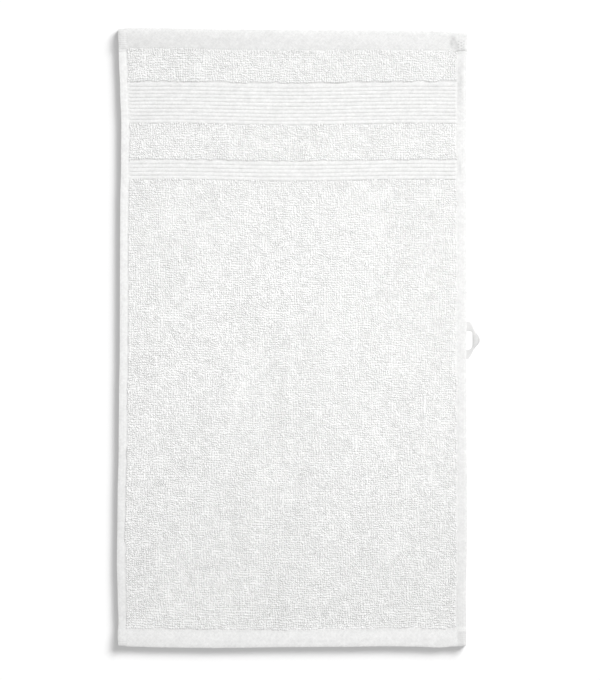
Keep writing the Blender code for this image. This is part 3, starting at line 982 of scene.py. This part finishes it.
def pile_line(x, from_end, draws):
    """The middle lines of loops at some places, and their yarn's radius."""
    count = len(x)
    y = LENGTH / 2 - from_end
    across = LOOP_WANDER * noise_field(x, y, WANDER_SIZE, "wander across")
    along = LOOP_WANDER * noise_field(x, y, WANDER_SIZE, "wander along")
    x = x + across + draws.uniform(-LOOP_JITTER, LOOP_JITTER, count)
    y = weft_place(from_end, x) + along + draws.uniform(-LOOP_JITTER, LOOP_JITTER, count)
    radius = YARN_RADIUS + draws.uniform(-YARN_UNEVENNESS, YARN_UNEVENNESS, count)
    radius += YARN_PATCH * noise_field(x, y, YARN_PATCH_SIZE, "thickness")
    turn = LOOP_TURN + LOOP_TURN_CHANGE * noise_field(x, y, TURN_SIZE, "turn")
    turn += draws.normal(0.0, LOOP_TURN_SCATTER, count)
    along = np.stack((np.sin(turn), np.cos(turn), np.zeros(count)), axis=-1)
    lean = draws.normal(0.0, LOOP_LEAN, (count, 2))
    lean[:, 0] += CLUMP_LEAN * clumps(x, y, "lean across")
    lean[:, 1] += CLUMP_LEAN * clumps(x, y, "lean along")
    height = TERRY_HEIGHT + CLUMP_HEIGHT * clumps(x, y, "height")
    height += draws.normal(0.0, LOOP_HEIGHT_SCATTER, count)
    height -= BORDERED_SINK * faded((from_end - END_REACH * BORDERED_HEM_SHARE) / HEM_SINK_REACH)
    height -= PLAIN_SINK * faded((LENGTH - END_REACH - from_end) / HEM_SINK_REACH)
    top_z = np.maximum(height - radius * YARN_FLATNESS, GROUND_HEIGHT + LOWEST_TOP) + swell(x, y)
    root = np.stack((x, y, GROUND_HEIGHT - LOOP_ROOT + swell(x, y)), axis=-1)
    top = np.stack((x + lean[:, 0], y + lean[:, 1], top_z), axis=-1)
    belly = root + (top - root) * LOOP_BELLY_SHARE
    reach, wide = along * LOOP_HALF_SPAN, along * (LOOP_HALF_SPAN + LOOP_BELLY)
    return np.stack((root - reach, belly - wide, top, belly + wide, root + reach), axis=1), radius


def map_from_above(data):
    """A map from above, for the colours of a mesh with very many faces."""
    points = np.empty(len(data.vertices) * 3, np.float32)
    data.vertices.foreach_get("co", points)
    corners = np.empty(len(data.loops), np.int32)
    data.loops.foreach_get("vertex_index", corners)
    places = points.reshape(-1, 3)[corners, :2] + (WIDTH / 2 + MAP_MARGIN, LENGTH / 2 + MAP_MARGIN)
    layer = data.uv_layers.new(name="OFBake")
    layer.data.foreach_set("uv", (places / MAP_SIZE).astype(np.float32).ravel())


def add_object(data):
    """A new object with a mesh, lamp or camera of the same name."""
    thing = bpy.data.objects.new(data.name, data)
    bpy.context.scene.collection.objects.link(thing)
    return thing


def add_piece(data, material, place):
    """A piece of the towel: a mesh and its material, where the solids lie."""
    thing = add_object(data)
    data.materials.append(material)
    thing.location = place
    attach(thing, "root")
    return thing


def build_pile(material, place):
    """The pile: one piece for the stretches by the borders, several for the long field."""
    draws = np.random.default_rng(SEED)
    lattices = [pile_lattice(first, last) for first, last in pile_bands()]
    pieces = {"pile_borders": [np.concatenate(parts) for parts in zip(*lattices[:-1])]}
    x, from_end = lattices[-1]
    rows = len(x) // LOOPS_ACROSS
    ends = [rows * part // FIELD_PIECES * LOOPS_ACROSS for part in range(FIELD_PIECES + 1)]
    for part, (start, end) in enumerate(zip(ends[:-1], ends[1:]), 1):
        pieces[f"pile_field_{part}"] = [x[start:end], from_end[start:end]]
    made = []
    for name, lattice in pieces.items():
        line, radius = pile_line(*lattice, draws)
        data = arches_mesh(name, arch_points(line, radius, YARN_FLATNESS))
        made.append(add_piece(data, material, place))
    return made


def stitch_row(from_end, x):
    """The middle lines of the stitches along a seam."""
    y = weft_place(from_end, x)
    points = np.stack((x, y, cloth_height(from_end, x, y)), axis=-1)
    steps = np.concatenate(([0.0], np.cumsum(np.linalg.norm(np.diff(points, axis=0), axis=1))))
    starts = np.arange(STITCH_PITCH, steps[-1] - STITCH_PITCH, STITCH_PITCH)
    lines = []
    for point in STITCH_POINTS:
        at = starts + point.share * STITCH_LENGTH
        line = np.stack([np.interp(at, steps, points[:, axis]) for axis in range(3)], axis=-1)
        lines.append(line + (0.0, 0.0, point.rise * STITCH_RISE))
    return np.stack(lines, axis=1)


def build_stitching(material, place):
    """Stitches along all four hems, and across the tape's roots."""
    across = np.linspace(-WIDTH / 2 + LEFT_SEAM, WIDTH / 2 - RIGHT_SEAM, END_SEAM_POINTS)
    along = np.linspace(END_SEAM, LENGTH - END_SEAM, SIDE_SEAM_POINTS)
    seams = [
        stitch_row(np.full_like(across, END_SEAM * BORDERED_HEM_SHARE), across),
        stitch_row(np.full_like(across, LENGTH - END_SEAM), across),
        stitch_row(along, left_edge(along) + LEFT_SEAM),
        stitch_row(along, right_edge(along) - RIGHT_SEAM),
    ]
    for low, high in ROOT_SPANS:
        root = LENGTH - LOOP_FROM_PLAIN_END - np.linspace(low, high, ROOT_SEAM_POINTS) * MM
        seams += [stitch_row(root, right_edge(root) - inward) for inward in ROOT_SEAMS]
    lines = np.concatenate(seams)
    data = arches_mesh("hem_stitches", arch_points(lines, np.full(len(lines), STITCH_RADIUS)))
    return add_piece(data, material, place)


def loop_origin():
    """The point on the hem's edge at the loop's middle."""
    from_end = LENGTH - LOOP_FROM_PLAIN_END
    return float(right_edge(np.array(from_end))), LOOP_FROM_PLAIN_END - LENGTH / 2


def tape_sections():
    """The sections across the tape, on smooth curves."""
    return smooth_rows(np.array(TAPE) * MM, TAPE_STEPS)


def tape_painted_shade(along, across):
    """How much painted shade the tape has at its rucked turn, along its rims and on its arms."""
    rucked = eased((RUCK_REACH - np.abs(along)) / RUCK_FADE)
    rim = np.where(across < 0.5, OUTER_RIM_SHADE, INNER_RIM_SHADE) * np.abs(2.0 * across - 1.0) ** RIM_SHARPNESS
    return np.maximum(rucked * (RUCK_PAINTED_SHADE + rim), ARM_PAINTED_SHADE + ARM_RIM_SHADE * across**ARM_SHARPNESS)


def tape_mesh(name):
    """The loop's tape as a thin closed sheet with fine ribs along it."""
    edge_x, middle_y = loop_origin()
    across = np.linspace(0.0, 1.0, TAPE_COLUMNS)
    crown = np.sqrt(np.clip(1.0 - (2.0 * across - 1.0) ** 2, 0.0, 1.0))
    outer_out, outer_along, inner_out, inner_along, edge_high, crown_high = tape_sections().T[:, :, None]
    x = edge_x + outer_out + (inner_out - outer_out) * across
    y = middle_y + outer_along + (inner_along - outer_along) * across
    z = edge_high + (crown_high - edge_high) * crown
    thick = TAPE_THICKNESS * (TAPE_RIM_SHARE + (1.0 - TAPE_RIM_SHARE) * np.sqrt(crown))
    upper = np.stack((x, y, z + TAPE_RIB_DEPTH * np.cos(FULL_TURN * TAPE_RIBS * across)), axis=-1)
    lower = np.stack((x, y, z - thick), axis=-1)
    ring = np.concatenate((upper, lower[:, ::-1]), axis=1)
    grid = np.arange(ring.shape[0] * ring.shape[1]).reshape(ring.shape[:2])
    beside, back = np.roll(grid, -1, axis=1), grid[:, ::-1]
    faces = np.stack((grid[:-1], beside[:-1], beside[1:], grid[1:]), axis=-1).reshape(-1, 4).tolist()
    caps = np.stack((grid[:, :-1], back[:, :-1], back[:, 1:], grid[:, 1:]), axis=-1)[:, : TAPE_COLUMNS - 1]
    faces += caps[0].tolist() + caps[-1, :, ::-1].tolist()
    shade = tape_painted_shade(outer_along, across)
    data = bpy.data.meshes.new(name)
    data.from_pydata(ring.reshape(-1, 3).tolist(), [], faces)
    add_mark(data, "shade", np.concatenate((shade, shade[:, ::-1]), axis=1).ravel())
    data.shade_smooth()
    return data


def put(tree, target, inputs):
    """Puts values or other nodes' outputs to a node's inputs."""
    for name, value in inputs.items():
        if isinstance(value, bpy.types.NodeSocket):
            tree.links.new(value, target.inputs[name])
        else:
            target.inputs[name].default_value = value


def node(tree, kind, inputs=(), **settings):
    """A new shader node's outputs."""
    made = tree.nodes.new("ShaderNode" + kind)
    for name, value in settings.items():
        setattr(made, name, value)
    put(tree, made, dict(inputs))
    return made.outputs


def new_material(name):
    """A new material, its nodes and its shader."""
    material = bpy.data.materials.new(name)
    material.use_nodes = True
    return material, material.node_tree, material.node_tree.nodes["Principled BSDF"]


def cotton(name):
    """A new material of matt cotton, its nodes and its place in the towel's frame."""
    material, tree, shader = new_material(name)
    put(tree, shader, {"Roughness": LOOKS[name].roughness, **COTTON})
    return material, tree, node(tree, "TexCoord")["Object"]


def noise(tree, place, size, detail=2.0):
    """Noise with features about as large as size."""
    return node(tree, "TexNoise", {"Vector": place, "Scale": 1.0 / size, "Detail": detail})["Fac"]


def tone(tree, place, size, detail, low, high):
    """Noise that goes from a low value to a high one."""
    inputs = {"Value": noise(tree, place, size, detail), "To Min": low, "To Max": high, **NOISE_RANGE}
    return node(tree, "MapRange", inputs)["Result"]


def bands(tree, place, pitch, direction):
    """Even bands across x or y, a pitch apart."""
    inputs = {"Vector": place, "Scale": WAVE_PITCH / pitch}
    return node(tree, "TexWave", inputs, bands_direction=direction)["Fac"]


def combine(tree, kind, *values):
    """Values joined by a sum, a product or the like."""
    return node(tree, "Math", enumerate(values), operation=kind)["Value"]


def plain_weave(tree, place, pitch):
    """A plain weave's small humps."""
    return combine(tree, "MULTIPLY", bands(tree, place, pitch, "X"), bands(tree, place, pitch, "Y"))


def attribute(tree, name):
    """A number that the mesh holds at each of its points."""
    return node(tree, "Attribute", attribute_name=name)["Fac"]


def tint(tree, mark, pattern, change):
    """A factor about 1 that follows a pattern, as strongly as the mesh's mark says."""
    about_zero = combine(tree, "SUBTRACT", pattern, 0.5)
    marked = combine(tree, "MULTIPLY", attribute(tree, mark), about_zero)
    return combine(tree, "MULTIPLY_ADD", marked, change, 1.0)


def paint(material, place, height, *factors):
    """Gives a cotton its white, as bright as its tones times some factors, and bump of some height."""
    tree, look = material.node_tree, LOOKS[material.name]
    bright, *others = [tone(tree, place, *numbers) for numbers in look.tones]
    for factor in (*others, *factors):
        bright = combine(tree, "MULTIPLY", bright, factor)
    blue = combine(tree, "MULTIPLY", bright, COTTON_WARMTH)
    colour = node(tree, "CombineColor", {"Red": bright, "Green": bright, "Blue": blue})["Color"]
    bump = {"Height": height, "Distance": look.bump_distance, "Strength": look.bump_strength}
    shader = tree.nodes["Principled BSDF"]
    put(tree, shader, {"Base Color": colour, "Normal": node(tree, "Bump", bump)["Normal"]})
    return material


def diamond_lines(tree, place):
    """Nested diamonds of fine, wandering lines, as in a goose-eye twill."""
    apart = node(tree, "SeparateXYZ", {"Vector": place})
    half = DIAMOND_PITCH / 2.0
    zigzags = []
    for axis, size in DIAMOND_WANDER_SIZES:
        wandering = combine(tree, "MULTIPLY_ADD", noise(tree, place, size), DIAMOND_WANDER, apart[axis])
        zigzags.append(combine(tree, "PINGPONG", wandering, half))
    turns = combine(tree, "MULTIPLY", combine(tree, "ADD", *zigzags), FULL_TURN / half)
    return combine(tree, "MULTIPLY_ADD", combine(tree, "COSINE", turns), 0.5, 0.5)


def block_dots(tree, place):
    """Soft dots in rows and columns."""
    rows, columns = (
        combine(tree, "MULTIPLY_ADD", bands(tree, place, pitch, axis), 2.0, -1.0)
        for pitch, axis in ((DOT_PITCH_ALONG, "Y"), (DOT_PITCH_ACROSS, "X"))
    )
    return combine(tree, "MAXIMUM", combine(tree, "MULTIPLY", rows, columns), 0.0)


def pile_cotton():
    """White cotton loops: soft fibre fuzz, and faint patches where the yarn is duller."""
    material, tree, place = cotton("pile_cotton")
    return paint(material, place, noise(tree, place, FIBRE_SIZE, detail=3.0))


def ground_cotton():
    """The woven ground of the hems and borders, with the weaves and the painted shade that its mesh marks."""
    material, tree, place = cotton("ground_cotton")
    nested = diamond_lines(tree, place)
    weave = plain_weave(tree, place, GROUND_WEAVE_PITCH)
    return paint(
        material,
        place,
        combine(tree, "MULTIPLY_ADD", nested, DIAMOND_BUMP, weave),
        combine(tree, "MULTIPLY_ADD", attribute(tree, "shade"), GROUND_SHADE, 1.0),
        tint(tree, "diamonds", nested, DIAMOND_TINT),
        tint(tree, "lines", bands(tree, place, LINE_PITCH, "Y"), LINE_TINT),
        tint(tree, "dots", block_dots(tree, place), DOT_TINT),
    )


def underside_cotton():
    """The underside, which lies on the surface: pressed pile, as small soft lumps with painted shade between
    them.
    """
    material, tree, place = cotton("underside_cotton")
    lumps = node(tree, "TexVoronoi", {"Vector": place, "Scale": 1.0 / LOOP_ROW_PITCH})["Distance"]
    hollows = combine(tree, "MULTIPLY_ADD", lumps, LUMP_SHADE, LUMP_BRIGHTNESS)
    return paint(material, place, hollows, hollows)


def tape_cotton():
    """The loop's tape: a tighter weave in a darker white, which is partly painted shade, with more painted
    shade where it is rucked and along its rims.
    """
    material, tree, place = cotton("tape_cotton")
    painted_shade = combine(tree, "MULTIPLY_ADD", attribute(tree, "shade"), TAPE_SHADE, 1.0)
    return paint(material, place, plain_weave(tree, place, TAPE_WEAVE_PITCH), painted_shade)


def thread():
    """Sewing thread: smooth and a little bright."""
    material, tree, place = cotton("sewing_thread")
    return paint(material, place, noise(tree, place, THREAD_FIBRE_SIZE))


def frame_place():
    """How far the solids lie from the middle of the cloth, read from the loop's outermost points."""
    edge_x, middle_y = loop_origin()
    _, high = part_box("hanging_loop")
    furthest_out = max(section.outer_out for section in TAPE) * MM
    furthest_along = max(section.outer_along for section in TAPE) * MM
    return Vector((high.x - edge_x - furthest_out, high.y - middle_y - furthest_along, 0.0))


def build_towel():
    """The towel's pieces in place of its two solids. Gives the cloth's, those of its pile, and the tape."""
    place = frame_place()
    ground = add_piece(ground_mesh("woven_cloth"), ground_cotton(), place)
    ground.data.materials.append(underside_cotton())
    map_from_above(ground.data)
    pile = build_pile(pile_cotton(), place)
    stitches = build_stitching(thread(), place)
    tape = add_piece(tape_mesh("loop_tape"), tape_cotton(), place)
    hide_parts("towel_cloth")
    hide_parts("hanging_loop")
    return [ground, *pile, stitches], pile, tape


def build_floor():
    """A plain pale floor that runs out of sight."""
    half = FLOOR_SIZE / 2
    corners = [(-half, -half, 0), (half, -half, 0), (half, half, 0), (-half, half, 0)]
    data = bpy.data.meshes.new("floor")
    data.from_pydata(corners, [], [(0, 1, 2, 3)])
    floor = add_object(data)
    material, tree, shader = new_material("floor_white")
    put(tree, shader, {"Base Color": FLOOR_WHITE, "Roughness": 1.0, "Specular IOR Level": 0.0})
    data.materials.append(material)
    return floor


def build_sky():
    """An even pale sky, shown white behind the floor."""
    world = bpy.data.worlds.new("studio")
    bpy.context.scene.world = world
    world.use_nodes = True
    tree = world.node_tree
    seen = node(tree, "LightPath")["Is Camera Ray"]
    strength = node(tree, "Mix", {"Factor": seen, "A": SKY, "B": BACKGROUND})["Result"]
    put(tree, tree.nodes["Background"], {"Color": (1.0, 1.0, 1.0, 1.0), "Strength": strength})


def collected(name, things):
    """A collection of things for a lamp's light linking."""
    group = bpy.data.collections.new(name)
    for thing in things:
        group.objects.link(thing)
    return group


def add_lamp(name, kind, place, things):
    """A lamp at a place, turned to the towel's middle, that lights only some things."""
    lamp = add_object(bpy.data.lights.new(name, kind))
    lamp.location = place
    lamp.rotation_euler = place.to_track_quat("Z", "Y").to_euler()
    lamp.visible_camera = False
    lamp.light_linking.receiver_collection = collected(name + "_lights", things)
    return lamp


def add_sun(name, sun, things):
    """A sun that lights only some things."""
    up, round_angle = math.radians(sun.elevation), math.radians(sun.azimuth)
    flat = math.cos(up)
    way = Vector((flat * math.cos(round_angle), flat * math.sin(round_angle), math.sin(up)))
    lamp = add_lamp(name, "SUN", way, things)
    lamp.data.energy = sun.strength
    lamp.data.angle = math.radians(sun.softness)
    return lamp


def build_lights(cloth, pile, tape, floor):
    """A soft key, light from above, and low suns for the shadow of all but the tape."""
    add_sun("key", KEY, [*cloth, tape])
    add_sun("fill", FILL, [*cloth, tape])
    low_suns = [LOW_SUN._replace(azimuth=LOW_SUN.azimuth + turn) for turn in LOW_TURNS]
    for order, sun in enumerate([*low_suns, HIGH_SUN]):
        name = f"floor_sun_{order}"
        lamp = add_sun(name, sun, [floor])
        lamp.light_linking.blocker_collection = collected(name + "_blockers", cloth)
    for name, share, lit in (
        ("spot", SHARED_SPOT, [*cloth, tape]),
        ("pile_spot", 1.0 - SHARED_SPOT, [*pile, tape]),
    ):
        spot = add_lamp(name, "SPOT", Vector(SPOT_PLACE), lit)
        spot.rotation_euler = (0.0, 0.0, 0.0)
        spot.data.energy = SPOT_POWER * share
        spot.data.spot_size = math.radians(SPOT_CONE)
        spot.data.spot_blend = 1.0
        spot.data.shadow_soft_size = SPOT_RADIUS


def build_camera():
    """The photograph's view: straight down, with the bordered end at the top."""
    camera = bpy.data.cameras.new("camera")
    camera.lens = LENS_MM
    camera.sensor_width = SENSOR_MM
    viewer = add_object(camera)
    viewer.location = (*CAMERA_AIM, FRAME_LENGTH * LENS_MM / SENSOR_MM + TERRY_HEIGHT)
    bpy.context.scene.camera = viewer


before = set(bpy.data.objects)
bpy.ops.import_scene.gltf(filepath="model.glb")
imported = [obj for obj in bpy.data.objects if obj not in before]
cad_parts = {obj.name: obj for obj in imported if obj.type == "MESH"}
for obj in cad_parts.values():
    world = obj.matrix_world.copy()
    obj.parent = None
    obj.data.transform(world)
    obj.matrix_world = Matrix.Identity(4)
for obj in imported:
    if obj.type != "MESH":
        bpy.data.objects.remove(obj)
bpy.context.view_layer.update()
cloth, pile, tape = build_towel()
floor = build_floor()
build_sky()
build_lights(cloth, pile, tape, floor)
build_camera()
bpy.context.scene.view_settings.view_transform = "Standard"
